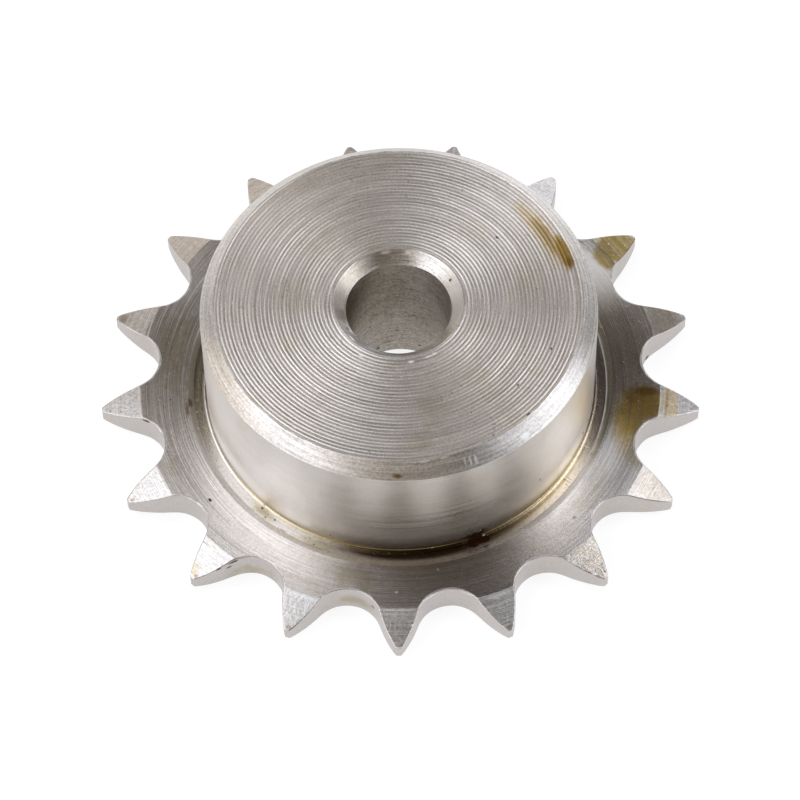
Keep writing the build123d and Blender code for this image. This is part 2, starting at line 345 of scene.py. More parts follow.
@dataclass
class Graph:
    """A node tree that is written with short calls."""

    tree: bpy.types.NodeTree

    def node(self, kind: str, settings: dict | None = None, *values: Link, **inputs: Link) -> bpy.types.Node:
        """Add a node.

        Args:
            kind: The node's type, such as ShaderNodeMath.
            settings: Its properties by name.
            *values: Its first inputs, in order.
            **inputs: Its inputs by name, with spaces as underscores.

        Returns:
            The node.
        """
        made = self.tree.nodes.new(kind)
        for name, value in (settings or {}).items():
            setattr(made, name, value)
        for socket, value in zip(made.inputs, values):
            self.feed(socket, value)
        for name, value in inputs.items():
            self.feed(made.inputs[name.replace("_", " ")], value)
        return made

    def feed(self, socket: Socket, value: Link) -> None:
        """Link an input to another node's output, or set its value.

        Args:
            socket: The input.
            value: The output, or the number, vector or colour that the input is set to.
        """
        if isinstance(value, Socket):
            self.tree.links.new(value, socket)
        else:
            socket.default_value = value

    def math(self, operation: str, *values: Link) -> Socket:
        """Return the result of a Math node."""
        return self.node("ShaderNodeMath", {"operation": operation}, *values).outputs[0]

    def vector(self, operation: str, *values: Link) -> Socket:
        """Return the vector, or for a length or a dot product the number, of a Vector Math node."""
        made = self.node("ShaderNodeVectorMath", {"operation": operation}, *values)
        return made.outputs["Value" if operation in ("DOT_PRODUCT", "LENGTH") else "Vector"]

    def combine(self, x: Link, y: Link, z: Link) -> Socket:
        """Return a vector of three numbers."""
        return self.node("ShaderNodeCombineXYZ", None, x, y, z).outputs[0]

    def smooth(self, value: Link, start: Link, end: Link, low: Link = 0.0, high: Link = 1.0) -> Socket:
        """Return a smooth step from low at start to high at end."""
        how = {"interpolation_type": "SMOOTHSTEP"}
        return self.node("ShaderNodeMapRange", how, value, start, end, low, high).outputs[0]

    def noise(self, place: Link, scale: Link, detail: float = 2.0, roughness: float = 0.5) -> Socket:
        """Return a noise texture's value, from 0 to 1."""
        made = self.node("ShaderNodeTexNoise", Vector=place, Scale=scale, Detail=detail, Roughness=roughness)
        return made.outputs[0]

    def dots(self, place: Link, scale: float, size: Link) -> Socket:
        """Return a mask of scattered dots: 1 within the size of a cell's point, and 0 past twice that.

        Args:
            place: The position that the cells lie in.
            scale: How many cells lie along a millimetre.
            size: The dots' radius in millimetres.

        Returns:
            The mask.
        """
        cells = self.node("ShaderNodeTexVoronoi", Vector=place, Scale=scale)
        away = self.math("DIVIDE", cells.outputs["Distance"], scale)
        return self.smooth(away, self.math("MULTIPLY", size, 2.0), size)

    def mix(self, share: Link, first: Link, second: Link, how: str = "MIX") -> Socket:
        """Return a mix of two colours."""
        made = self.node("ShaderNodeMix", {"data_type": "RGBA", "blend_type": how}, share)
        return self.mixed(made, first, second, "Color")

    def blend(self, share: Link, first: Link, second: Link) -> Socket:
        """Return a mix of two numbers."""
        return self.mixed(self.node("ShaderNodeMix", {"data_type": "FLOAT"}, share), first, second, "Float")

    def mixed(self, mix: bpy.types.Node, first: Link, second: Link, kind: str) -> Socket:
        """Feed the two values of a Mix node.

        Args:
            mix: The node.
            first: The value at a share of 0.
            second: The value at a share of 1.
            kind: What the values are, Color or Float, as the node's sockets are identified.

        Returns:
            The mix.
        """
        inputs = {socket.identifier: socket for socket in mix.inputs}
        self.feed(inputs[f"A_{kind}"], first)
        self.feed(inputs[f"B_{kind}"], second)
        return next(socket for socket in mix.outputs if socket.identifier == f"Result_{kind}")

    def group(self, name: str, **inputs: Link) -> bpy.types.Node:
        """Place a node group."""
        return self.node("ShaderNodeGroup", {"node_tree": bpy.data.node_groups[name]}, **inputs)


def new_group(name: str, inputs: dict[str, float | tuple], outputs: list[str]) -> tuple[Graph, dict, dict]:
    """Make an empty node group.

    Args:
        name: The group's name.
        inputs: Its inputs with their values at first: a number, a vector of three or a colour of four.
        outputs: Its outputs, numbers all, apart from one named Colour.

    Returns:
        The group's graph, its inputs as sockets to read and its outputs as sockets to feed, by name.
    """
    tree = bpy.data.node_groups.new(name, "ShaderNodeTree")
    for key, value in inputs.items():
        size = len(value) if isinstance(value, tuple) else 1
        kind = {1: "NodeSocketFloat", 3: "NodeSocketVector", 4: "NodeSocketColor"}[size]
        tree.interface.new_socket(key, in_out="INPUT", socket_type=kind).default_value = value
    for key in outputs:
        kind = "NodeSocketColor" if key == "Colour" else "NodeSocketFloat"
        tree.interface.new_socket(key, in_out="OUTPUT", socket_type=kind)
    graph = Graph(tree)
    given, result = graph.node("NodeGroupInput"), graph.node("NodeGroupOutput")
    return graph, {s.name: s for s in given.outputs if s.name}, {s.name: s for s in result.inputs if s.name}


def build_groups() -> None:
    """Build the node groups that the finishes share."""
    polar_group()
    turning_group()
    grain_group()
    patch_group()
    film_group()


def polar_group() -> None:
    """Build the group that turns a position in millimetres into a radius, a turn angle and a height."""
    outputs = ["Radius", "Angle", "Height", "Sine", "Cosine"]
    graph, given, result = new_group("polar", {"Position": ORIGIN}, outputs)
    x, y, z = graph.node("ShaderNodeSeparateXYZ", None, given["Position"]).outputs
    radius = graph.math("SQRT", graph.math("ADD", graph.math("MULTIPLY", x, x), graph.math("MULTIPLY", y, y)))
    ahead = graph.math("MULTIPLY", y, -1.0)
    graph.feed(result["Radius"], radius)
    graph.feed(result["Height"], z)
    graph.feed(result["Angle"], graph.math("DEGREES", graph.math("ARCTAN2", x, ahead)))
    graph.feed(result["Sine"], graph.math("DIVIDE", x, radius))
    graph.feed(result["Cosine"], graph.math("DIVIDE", ahead, radius))


def turning_group() -> None:
    """Build the group of the lathe tool's marks.

    Regular marks are a sine across the surface whose phase wanders by up to three waves and whose strength
    comes and goes. Streaks are a noise with 11 cells a millimetre across and 2.5 a radian round the axis.
    Both heights are in millimetres, and the streaks are also put out as a number from -1 to 1. The lines,
    from 0 to 1, are the peaks of a coarser noise: sparse scratches some millimetres long.
    """
    inputs = {"Across": 0.0, "Sine": 0.0, "Cosine": 0.0, "Pitch": 0.15, "Mark Height": 0.0,
              "Streak Height": 0.0}
    graph, given, result = new_group("turning_marks", inputs, ["Height", "Streaks", "Lines"])
    across, sine, cosine = given["Across"], given["Sine"], given["Cosine"]

    def stretched(per_mm: float, per_radian: float) -> Socket:
        """Return a vector with the given numbers of noise cells a millimetre across and a radian round."""
        return graph.combine(graph.math("MULTIPLY", across, per_mm), graph.math("MULTIPLY", sine, per_radian),
                             graph.math("MULTIPLY", cosine, per_radian))

    wander = graph.noise(stretched(0.5, 1.0), 1.5)
    waves = graph.math("DIVIDE", across, given["Pitch"])
    phase = graph.math("ADD", waves, graph.math("MULTIPLY", wander, 3.0))
    wave = graph.math("SINE", graph.math("MULTIPLY", phase, 2 * math.pi))
    strength = graph.smooth(graph.noise(stretched(1.0, 1.0), 2.0), 0.3, 0.7)
    wave = graph.math("MULTIPLY", wave, strength)
    streaks = graph.smooth(graph.noise(stretched(11.0, 2.5), 1.0, 2.0, 0.6), 0.3, 0.7, -1.0, 1.0)
    height = graph.math("ADD", graph.math("MULTIPLY", wave, given["Mark Height"]),
                        graph.math("MULTIPLY", streaks, given["Streak Height"]))
    graph.feed(result["Height"], height)
    graph.feed(result["Streaks"], streaks)
    graph.feed(result["Lines"], graph.smooth(graph.noise(stretched(9.0, 2.5), 1.0, 1.0), 0.6, 0.72))


def grain_group() -> None:
    """Build the group of the fine uneven grain, with its dark pits and its nicks, whose bright glint the
    marks paint into the colour.

    The grain is a noise from -1 to 1 with one cell a pitch. Pits and nicks are dots round scattered
    points in cells of 0.5 and 0.6 mm, which show where a point lies near the surface, in crowds that a
    broad noise sets apart. The grain pushes their rims about.
    """
    inputs = {"Position": ORIGIN, "Pitch": 0.2, "Pit Size": 0.05, "Nick Size": 0.04}
    graph, given, result = new_group("grain", inputs, ["Grain", "Pits", "Nicks"])
    grain = graph.noise(given["Position"], graph.math("DIVIDE", 1.0, given["Pitch"]), 2.0, 0.6)
    graph.feed(result["Grain"], graph.smooth(grain, 0.25, 0.75, -1.0, 1.0))
    crowd = graph.noise(given["Position"], 0.6)
    push = graph.combine(grain, graph.math("MULTIPLY", grain, -1.0), 0.0)
    ragged = graph.vector("ADD", given["Position"], push)
    for key, cell, share in (("Pit", 0.5, graph.smooth(crowd, 0.45, 0.65, 0.0, 0.8)),
                             ("Nick", 0.6, graph.smooth(crowd, 0.6, 0.4, 0.0, 0.8))):
        dots = graph.dots(ragged, 1 / cell, given[f"{key} Size"])
        graph.feed(result[f"{key}s"], graph.math("MULTIPLY", dots, share))


def patch_group() -> None:
    """Build the group of one ragged patch, whose mask is a soft ellipse round the axis.

    Its distance is the length of the arc and the step across from the middle, each divided by its half
    size. The wander, from -1.5 to 1.5, pushes the rim in and out.
    """
    inputs = {"Turn": 0.0, "Radius": 1.0, "Across": 0.0, "Wander": 0.0, "At Angle": 0.0, "At Place": 0.0,
              "Half Arc": 1.0, "Half Width": 1.0, "Fade": 0.5, "Ragged": 0.5, "Strength": 1.0}
    graph, given, result = new_group("patch", inputs, ["Mask"])
    turn = graph.math("WRAP", graph.math("SUBTRACT", given["Turn"], given["At Angle"]), 180.0, -180.0)
    arc = graph.math("MULTIPLY", graph.math("RADIANS", turn), given["Radius"])
    along = graph.math("DIVIDE", arc, given["Half Arc"])
    aside = graph.math("SUBTRACT", given["Across"], given["At Place"])
    step = graph.math("DIVIDE", aside, given["Half Width"])
    away = graph.vector("LENGTH", graph.combine(along, step, 0.0))
    away = graph.math("MULTIPLY_ADD", given["Wander"], given["Ragged"], away)
    start = graph.math("ADD", given["Fade"], 1.0)
    end = graph.math("SUBTRACT", 1.0, given["Fade"])
    graph.feed(result["Mask"], graph.smooth(away, start, end, 0.0, given["Strength"]))


def film_group() -> None:
    """Build the group of the thin uneven film that turns bare steel to olive in places."""
    inputs = {"Position": ORIGIN, "Strength": 0.2, "Colour": (0.6, 0.6, 0.6, 1.0)}
    graph, given, result = new_group("oil_film", inputs, ["Colour"])
    oil = (0.75, 0.7, 0.54, 1.0)
    broad = graph.smooth(graph.noise(given["Position"], 0.35, 3.0, 0.6), 0.45, 0.75)
    share = graph.math("MULTIPLY", broad, given["Strength"])
    graph.feed(result["Colour"], graph.mix(share, given["Colour"], oil, "MULTIPLY"))


@dataclass
class SteelShader:
    """The shader of one machined surface, built up from its shared coordinates.

    The tool's streaks change the roughness by a share of it, and the cover of the clear marks, painted shade
    among them, rises and falls with them. The facing grooves darken from ridge_foot to groove_bottom, both
    measured down from the end face. No shade is darker than the darkest.
    """

    finish: Finish
    look: MachinedSteel
    roughness_streaks: float = 0.12
    cover: float = 0.88
    cover_streaks: float = 0.22
    darkest: float = 0.1
    ridge_foot: float = 0.012
    groove_bottom: float = 0.034

    def __post_init__(self) -> None:
        """Make the material and the coordinates that its patterns share."""
        self.material = bpy.data.materials.new(f"steel_{self.finish.name.lower()}")
        self.material.use_nodes = True
        self.graph = Graph(self.material.node_tree)
        place = self.graph.node("ShaderNodeTexCoord").outputs["Object"]
        scaled = self.graph.node("ShaderNodeVectorMath", {"operation": "SCALE"}, place, Scale=1 / MM)
        self.position = scaled.outputs[0]
        self.polar = self.graph.group("polar", Position=self.position).outputs
        self.across = self.polar["Height" if self.look.along_axis else "Radius"]

    def build(self) -> bpy.types.Material:
        """Join the surface's colour, its marks and its height in one shader.

        Returns:
            The surface's material.
        """
        graph, look = self.graph, self.look
        turning = graph.group(
            "turning_marks", Across=self.across, Sine=self.polar["Sine"], Cosine=self.polar["Cosine"],
            Pitch=look.mark_pitch, Mark_Height=look.mark_height, Streak_Height=look.streak_height).outputs
        grain = graph.group("grain", Position=self.position, Pitch=look.grain_pitch, Pit_Size=look.pit_size,
                            Nick_Size=look.nick_size).outputs
        colour, metallic, roughness = self.marked(self.shaded(turning, grain), grain, turning["Streaks"])
        height = graph.math("MULTIPLY_ADD", grain["Grain"], look.grain_height, turning["Height"])
        bump = graph.node("ShaderNodeBump", Strength=1.0, Distance=MM, Height=height)
        shader = self.material.node_tree.nodes["Principled BSDF"].inputs
        graph.feed(shader["Base Color"], colour)
        graph.feed(shader["Metallic"], metallic)
        graph.feed(shader["Roughness"], roughness)
        graph.feed(shader["Normal"], bump.outputs[0])
        graph.feed(shader["Anisotropic"], look.anisotropy)
        if look.anisotropy:
            spread: Link = (0.0, 0.0, 1.0)
            if not look.along_axis:
                spread = graph.vector("MULTIPLY", self.position, (1.0, 1.0, 0.0))
            graph.feed(shader["Tangent"], graph.vector("NORMALIZE", spread))
        return self.material

    def shaded(self, turning: Outputs, grain: Outputs) -> Socket:
        """Lay the oil film, streaks, lines, grain and groove bottoms on the steel's colour.

        Args:
            turning: The outputs of the group of the tool's marks.
            grain: The outputs of the group of the grain.

        Returns:
            The colour.
        """
        graph, look = self.graph, self.look
        colour = graph.group("oil_film", Position=self.position, Strength=look.film, Colour=(*look.tint, 1))
        shade = graph.math("MULTIPLY_ADD", turning["Streaks"], look.streak_shade, 1.0)
        if look.line_shade:
            shade = graph.math("MULTIPLY_ADD", turning["Lines"], look.line_shade, shade)
        shade = graph.math("MULTIPLY_ADD", grain["Grain"], look.grain_shade, shade)
        if look.groove_shade:
            end = CAD_BOX[1].z / MM
            groove = graph.smooth(self.polar["Height"], end - self.ridge_foot, end - self.groove_bottom)
            shade = graph.math("MULTIPLY_ADD", groove, -look.groove_shade, shade)
        shade = graph.math("MAXIMUM", shade, self.darkest)
        return graph.vector("MULTIPLY", colour.outputs[0], graph.combine(shade, shade, shade))

    def marked(self, colour: Link, grain: Outputs, streaks: Link) -> tuple[Link, Link, Link]:
        """Lay all marks on the steel, kind by kind, the painted shade, light and glints among them.

        Args:
            colour: The colour without the marks.
            grain: The outputs of the group of the grain, whose pits and nicks join the marks.
            streaks: The tool's streaks, from -1 to 1.

        Returns:
            The colour, the metallic share and the roughness with the marks.
        """
        graph, look = self.graph, self.look
        metallic: Link = 1.0
        uneven = self.roughness_streaks * look.roughness
        roughness: Link = graph.math("MULTIPLY_ADD", streaks, uneven, look.roughness)
        wander = graph.math("MULTIPLY_ADD", graph.noise(self.position, 1.1, 3.0, 0.55), 3.0, -1.5)
        masks = {Kind.PIT: [grain["Pits"]], Kind.NICK_AND_PAINTED_GLINT: [grain["Nicks"]]}
        for kind, marks in look.marks.items():
            masks.setdefault(kind, []).extend(self.patch(mark, wander) for mark in marks)
        for kind in Kind:
            if kind not in masks:
                continue
            mark_look, tone = kind.value, (*kind.value.colour, 1)
            share, *others = masks[kind]
            for mask in others:
                share = graph.math("MAXIMUM", share, mask)
            if mark_look.clear:
                cover = graph.math("MULTIPLY_ADD", streaks, self.cover_streaks, self.cover)
                colour = graph.mix(graph.math("MULTIPLY", share, cover), colour, tone, "MULTIPLY")
            else:
                colour = graph.mix(share, colour, tone)
                metallic = graph.blend(share, metallic, mark_look.metallic)
                roughness = graph.blend(share, roughness, mark_look.roughness)
        return colour, metallic, roughness

    def patch(self, mark: Mark, wander: Link) -> Socket:
        """Lay one mark on the surface.

        Args:
            mark: The mark.
            wander: The noise that pushes its rim about.

        Returns:
            Its mask.
        """
        patch = self.graph.group(
            "patch", Turn=self.polar["Angle"], Radius=self.polar["Radius"], Across=self.across, Wander=wander,
            At_Angle=mark.angle, At_Place=mark.place, Half_Arc=mark.arc, Half_Width=mark.width,
            Fade=mark.fade, Ragged=mark.ragged, Strength=mark.strength)
        return patch.outputs[0]


@dataclass(frozen=True)
class Corner:
    """A corner of a turned profile: its radius from the axis, its height and how far it is rounded.

    The finish and the longest face, in step, are those of the stretch that leaves the corner.
    """

    radius: float
    height: float
    rounding: float
    finish: Finish
    step: float

    @property
    def point(self) -> np.ndarray:
        """The corner's radius and height as an array."""
        return np.array([self.radius, self.height])


def unit(vector: np.ndarray) -> np.ndarray:
    """Return the vectors with a length of one."""
    return vector / np.linalg.norm(vector, axis=-1, keepdims=True)


def rounded_corner(before: np.ndarray, at: Corner, after: np.ndarray, segments: int = 3) -> np.ndarray:
    """Return the points of the arc that rounds a corner and touches the straight stretches beside it.

    With a and b the directions from the corner along its two stretches, and h half of the angle between
    them, the arc's centre is at rounding / sin(h) along a + b, and the arc starts and ends at
    rounding / tan(h) along a and b. Its points turn evenly from one end to the other.

    Args:
        before: A point on the stretch that reaches the corner.
        at: The corner.
        after: A point on the stretch that leaves it.
        segments: How many faces the arc has.

    Returns:
        The arc's points, radius and height, in the order of the profile.
    """
    a, b = unit(before - at.point), unit(after - at.point)
    half = math.acos(float(np.clip(a @ b, -1, 1))) / 2
    centre = at.point + unit(a + b) * at.rounding / math.sin(half)
    start, end = at.point + a * at.rounding / math.tan(half), at.point + b * at.rounding / math.tan(half)
    sweep = math.pi - 2 * half
    turn = np.linspace(0, 1, segments + 1)[:, None] * sweep
    spokes = (start - centre) * np.sin(sweep - turn) + (end - centre) * np.sin(turn)
    return centre + spokes / math.sin(sweep)


def turned_profile(corners: list[Corner], margin: float = 0.08) -> tuple[np.ndarray, np.ndarray]:
    """Return the rows of a turned profile that runs through rounded corners.

    Each corner gives an arc, and each straight stretch between two arcs is divided into steps of at most
    the step of the corner that it leaves. One narrow step at each end keeps it flat up to the arc.

    Args:
        corners: The profile's corners in order. The first and the last are plain ends.
        margin: The length of the narrow steps.

    Returns:
        The rows' radius and height, and for each row the finish of the stretch that starts there.
    """
    ends = [corners[0].point[None]]
    for before, at, after in zip(corners, corners[1:], corners[2:]):
        ends.append(rounded_corner(before.point, at, after.point))
    ends.append(corners[-1].point[None])
    rows, finishes = [], []
    for corner, this, following in zip(corners, ends, ends[1:]):
        start, end = this[-1], following[0]
        length = float(np.linalg.norm(end - start))
        narrow = min(margin, length / 4)
        steps = max(1, math.ceil((length - 2 * narrow) / corner.step))
        inner = np.linspace(narrow, length - narrow, steps + 1)
        stretch = start + (end - start) * inner[:, None] / length
        rows += [this, stretch]
        finishes += [corner.finish] * (len(this) + len(stretch))
    rows.append(ends[-1])
    finishes.append(corners[-1].finish)
    return np.concatenate(rows), np.array([finish.value for finish in finishes])


def turned(radius: np.ndarray | float, height: np.ndarray | float, turn: np.ndarray) -> np.ndarray:
    """Return points at x = radius sin(turn), y = -radius cos(turn) and z = height, arrays broadcast."""
    radius, height, turn = np.broadcast_arrays(radius, height, turn)
    return np.stack([radius * np.sin(turn), -radius * np.cos(turn), height], axis=-1)


def ring_faces(first: int, rows: int, columns: int) -> np.ndarray:
    """Return the quads between closed rings.

    Args:
        first: The number of the first ring's first vertex. The others follow ring by ring.
        rows: How many rings there are.
        columns: How many vertices each has.

    Returns:
        The quads' vertices.
    """
    row, column = np.meshgrid(np.arange(rows - 1), np.arange(columns), indexing="ij")
    beside = (column + 1) % columns
    quads = np.stack([row * columns + column, (row + 1) * columns + column,
                      (row + 1) * columns + beside, row * columns + beside], axis=-1)
    return first + quads.reshape(-1, 4)


def seam_faces(on_hub: int, on_rim: int, columns: int) -> tuple[np.ndarray, np.ndarray]:
    """Return the faces between a ring of the hub and a ring of the rim, which has three times its vertices.

    Each edge of the hub's ring faces three edges of the rim's, with a triangle, a quad and a triangle.

    Args:
        on_hub: The number of the first vertex of the hub's ring.
        on_rim: The number of the first vertex of the rim's ring.
        columns: How many vertices the hub's ring has.

    Returns:
        The quads' vertices and the triangles' vertices.
    """
    column = np.arange(columns)
    low, high = on_hub + column, on_hub + (column + 1) % columns
    a, b, c, d = (on_rim + (3 * column + n) % (3 * columns) for n in range(4))
    triangles = np.concatenate([np.stack([low, a, b], axis=-1), np.stack([high, c, d], axis=-1)])
    return np.stack([low, b, c, high], axis=-1), triangles


def new_object(name: str, points: np.ndarray, quads: np.ndarray, triangles: np.ndarray,
               finish: np.ndarray) -> bpy.types.Object:
    """Put a smooth mesh into the scene.

    Args:
        name: The name of the object and its mesh.
        points: The vertices in millimetres.
        quads: The vertices of each quad.
        triangles: The vertices of each triangle.
        finish: The number of each face's finish, quads first.

    Returns:
        The object.
    """
    mesh = bpy.data.meshes.new(name)
    mesh.vertices.add(len(points))
    mesh.vertices.foreach_set("co", (points * MM).astype(np.float32).ravel())
    corners = np.concatenate([quads.ravel(), triangles.ravel()])
    sizes = np.repeat([4, 3], [len(quads), len(triangles)])
    mesh.loops.add(len(corners))
    mesh.loops.foreach_set("vertex_index", corners.astype(np.int32))
    mesh.polygons.add(len(sizes))
    mesh.polygons.foreach_set("loop_start", (np.cumsum(sizes) - sizes).astype(np.int32))
    mesh.polygons.foreach_set("loop_total", sizes.astype(np.int32))
    mesh.polygons.foreach_set("material_index", finish.astype(np.int32))
    mesh.polygons.foreach_set("use_smooth", np.ones(len(sizes), bool))
    mesh.update(calc_edges=True)
    mesh.validate()
    made = bpy.data.objects.new(name, mesh)
    bpy.context.scene.collection.objects.link(made)
    log.info("%s: %d triangles", name, 2 * len(quads) + len(triangles))
    return made


@dataclass
class Sprocket:
    """The sprocket as one closed skin, from the bore over the hub and the teeth to the back.

    The hub is a turned profile. The toothed rim is a set of rings that follow the outline of the teeth, with
    three times the vertices of a ring on the hub. Its first rings are circles, and turning_in gives their
    radii and how far they have turned to the outline's spacing. Shares along the plate and its back run from
    tooth_start to the crease, and those along the bevel from the crease to the rim.
    """

    tooth_count: int = 17
    chain_pitch: float = 8.0
    seat_radius: float = 2.65
    seat_angle: float = 127.0
    flank_radius: float = 11.4
    tooth_crown: float = 1.73
    tip_trim: float = 0.005  # keeps the tips inside the solid's box
    tip_break: float = 0.03
    bevel_width: float = 3.1
    bevel_depth: float = 0.73
    least_bevel: float = 0.12  # kept between the crease and the rim where the gaps are deepest
    crease_rounding: float = 0.03
    tooth_width: float = 2.6
    edge_break: float = 0.06
    edge_wander: float = 0.025
    hub_radius: float = 15.219
    hub_chamfer: float = 1.1
    hub_fillet: float = 0.2
    hub_edge_wander: float = 0.05
    hub_edge_reach: tuple[float, float] = (0.12, 0.1)  # how far the wander fades, across and down
    recess_width: float = 1.0
    recess_slope: float = 0.5
    recess_depth: float = 0.15
    recess_rounding: float = 0.03
    bore_radius: float = 4.05
    bore_chamfer: float = 0.9
    corner_rounding: float = 0.04
    groove_pitch: float = 0.2972
    groove_depth: float = 0.027
    groove_spread: float = 0.25  # the share by which the grooves' depths differ
    groove_margin: float = 0.12  # plain ring at each side of the grooves
    samples_per_groove: int = 6
    back_start: float = 16.9
    plate_end: float = 17.0
    fine_step: float = 0.2
    face_step: float = 0.5
    points_on_seat: int = 12
    points_on_flank: int = 8
    tip_shares: tuple[float, ...] = (0.35, 0.7, 1.0)
    turning_in: tuple[tuple[float, float], ...] = ((17.3, 0.0), (17.75, 0.3), (18.25, 0.7))
    tooth_start: float = 18.75
    plate_shares: tuple[float, ...] = (0.0, 0.25, 0.5, 0.75, 0.93)
    bevel_shares: tuple[float, ...] = (0.0, 0.03, 0.12, 0.25, 0.4, 0.55, 0.7, 0.85, 0.96, 1.0)
    edge_steps: tuple[tuple[float, float], ...] = ((0.7, 0.3), (1.0, 1.0))  # out to the rim and down the wall
    wall_levels: tuple[float, ...] = (0.97, 0.6, 0.2, -0.2, -0.6, -0.97)
    back_bevel_shares: tuple[float, ...] = (0.92, 0.6, 0.3, 0.04)
    back_shares: tuple[float, ...] = (0.96, 0.5, 0.0)

    def __post_init__(self) -> None:
        """Work out the places that follow from the sizes and from the CAD node's box."""
        low, high = (np.array(corner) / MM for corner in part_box("sprocket"))
        self.front, self.back, self.end = self.tooth_width / 2, low[2], high[2]
        self.step = 2 * math.pi / self.tooth_count
        self.pitch_radius = self.chain_pitch / (2 * math.sin(self.step / 2))
        self.tip_radius = self.pitch_radius + self.tooth_crown - self.tip_trim
        self.bevel_start = self.tip_radius - self.bevel_width
        self.rng = np.random.default_rng(SEED)

    def wobble(self, columns: int, knots: int) -> np.ndarray:
        """Draw a smooth closed random curve through evenly spaced knots.

        Between two knots the height follows a smooth step, 3 t^2 - 2 t^3 with t from 0 to 1.

        Args:
            columns: How many values the curve has.
            knots: How many knots it runs through, each from -1 to 1.

        Returns:
            The curve's values.
        """
        heights = self.rng.uniform(-1, 1, knots)
        place = np.arange(columns) * knots / columns
        low, share = place.astype(int), place % 1.0
        share = share**2 * (3 - 2 * share)
        return heights[low % knots] * (1 - share) + heights[(low + 1) % knots] * share

    def facing_grooves(self, inner: float, outer: float) -> np.ndarray:
        """Cut the turning grooves into the end face.

        Between two ridges the height follows a parabola, depth * ((2 t - 1)^2 - 1) with t from 0 to 1 across
        the groove, as a round tool leaves it.

        Args:
            inner: The radius inside which no groove is cut.
            outer: The radius of the last ridge.

        Returns:
            The rows' radius and height, from the inside out.
        """
        rows = math.floor((outer - inner) / self.groove_pitch * self.samples_per_groove)
        place = np.arange(rows, -1, -1) / self.samples_per_groove
        radius = outer - self.groove_pitch * place
        across = place % 1.0
        spread = self.rng.uniform(-1, 1, math.ceil(place[0]) + 1)
        depth = self.groove_depth * (1 + self.groove_spread * spread)[place.astype(int)]
        return np.stack([radius, self.end + depth * ((2 * across - 1) ** 2 - 1)], axis=-1)

    def turned_rows(self) -> tuple[np.ndarray, np.ndarray]:
        """Work out the turned part of the skin, from the back through the bore and over the hub to the plate.

        Returns:
            The rows' radius and height, and for each row the number of the finish that starts there.
        """
        wide, face_edge = self.bore_radius + self.bore_chamfer, self.hub_radius - self.hub_chamfer
        floor, floor_edge = self.front - self.recess_depth, self.hub_radius + self.recess_width
        small, fine, step = self.corner_rounding, self.fine_step, self.face_step
        under = [
            Corner(self.back_start, self.back, 0, Finish.BACK, step=1.6),
            Corner(wide, self.back, small, Finish.BORE, step),
            Corner(self.bore_radius, self.back + self.bore_chamfer, small, Finish.BORE, step=1.2),
            Corner(self.bore_radius, self.end - self.bore_chamfer, small, Finish.CHAMFER, step),
            Corner(wide, self.end, small, Finish.END_FACE, step),
            Corner(wide + self.groove_margin, self.end, 0, Finish.END_FACE, step)]
        over = [
            Corner(face_edge - self.groove_margin, self.end, 0, Finish.END_FACE, step),
            Corner(face_edge, self.end, small, Finish.CHAMFER, step=0.25),
            Corner(self.hub_radius, self.end - self.hub_chamfer, small, Finish.HUB_WALL, step=0.9),
            Corner(self.hub_radius, floor, self.hub_fillet, Finish.RECESS, fine),
            Corner(floor_edge, floor, self.recess_rounding, Finish.RECESS, fine),
            Corner(floor_edge + self.recess_slope, self.front, self.recess_rounding, Finish.PLATE, fine),
            Corner(self.plate_end, self.front, 0, Finish.PLATE, fine)]
        lower, lower_finish = turned_profile(under)
        upper, upper_finish = turned_profile(over)
        grooves = self.facing_grooves(lower[-2, 0], upper[1, 0])
        groove_finish = np.full(len(grooves), Finish.END_FACE.value)
        return (np.concatenate([lower[:-2], grooves, upper[2:]]),
                np.concatenate([lower_finish[:-2], groove_finish, upper_finish[2:]]))

    def hub_skin(self, columns: int) -> tuple[np.ndarray, np.ndarray]:
        """Carry the turned profile round the axis, with the edge of the end face slightly uneven.

        Args:
            columns: How many vertices each ring has.

        Returns:
            The points in rings, and the number of the finish of each band between two rings.
        """
        profile, finish = self.turned_rows()
        even = np.arange(columns) * 2 * math.pi / columns
        radius, height = profile[:, :1], profile[:, 1:]
        across, down = self.hub_edge_reach
        edge = self.hub_radius - self.hub_chamfer
        nearness = np.exp(-((radius - edge) / across) ** 2 - ((height - self.end) / down) ** 2)
        wander = self.hub_edge_wander * nearness * self.wobble(columns, columns)[None]
        return turned(radius + wander, height, even[None]), finish[:-1]

    def gap_outline(self) -> tuple[np.ndarray, np.ndarray]:
        """Draw the outline of one gap, from the middle of one tooth to the next.

        Seen along the gap's middle line, the seat is an arc about the pitch circle's point, each flank an
        arc about a point behind the seat's end on the line through it and the seat's centre, and the tip
        runs along the tip circle.

        Returns:
            The outline's points and its normals, which point away from the steel.
        """
        reach = math.radians(self.seat_angle / 2)
        seat_centre = np.array([self.pitch_radius, 0.0])
        outwards = np.array([-math.cos(reach), math.sin(reach)])
        flank_centre = seat_centre + (self.seat_radius + self.flank_radius) * outwards
        seat = np.linspace(0, reach, self.points_on_seat)
        seat_normal = np.stack([np.cos(seat), -np.sin(seat)], axis=-1)
        far = math.hypot(*flank_centre)
        lead = math.atan2(flank_centre[1], flank_centre[0])
        swing = (self.tip_radius**2 - far**2 - self.flank_radius**2) / (2 * self.flank_radius)
        at_tip = math.acos(swing / far) - lead
        flank = np.linspace(reach, at_tip, self.points_on_flank)[1:]
        flank_normal = np.stack([np.cos(flank), -np.sin(flank)], axis=-1)
        flank_points = flank_centre + self.flank_radius * flank_normal
        corner = math.atan2(flank_points[-1, 1], flank_points[-1, 0])
        tip = corner + (self.step / 2 - corner) * np.array(self.tip_shares)
        tip_normal = np.stack([np.cos(tip), np.sin(tip)], axis=-1)
        half = np.concatenate([seat_centre - self.seat_radius * seat_normal, flank_points,
                               self.tip_radius * tip_normal])
        normal = np.concatenate([seat_normal, flank_normal, tip_normal])
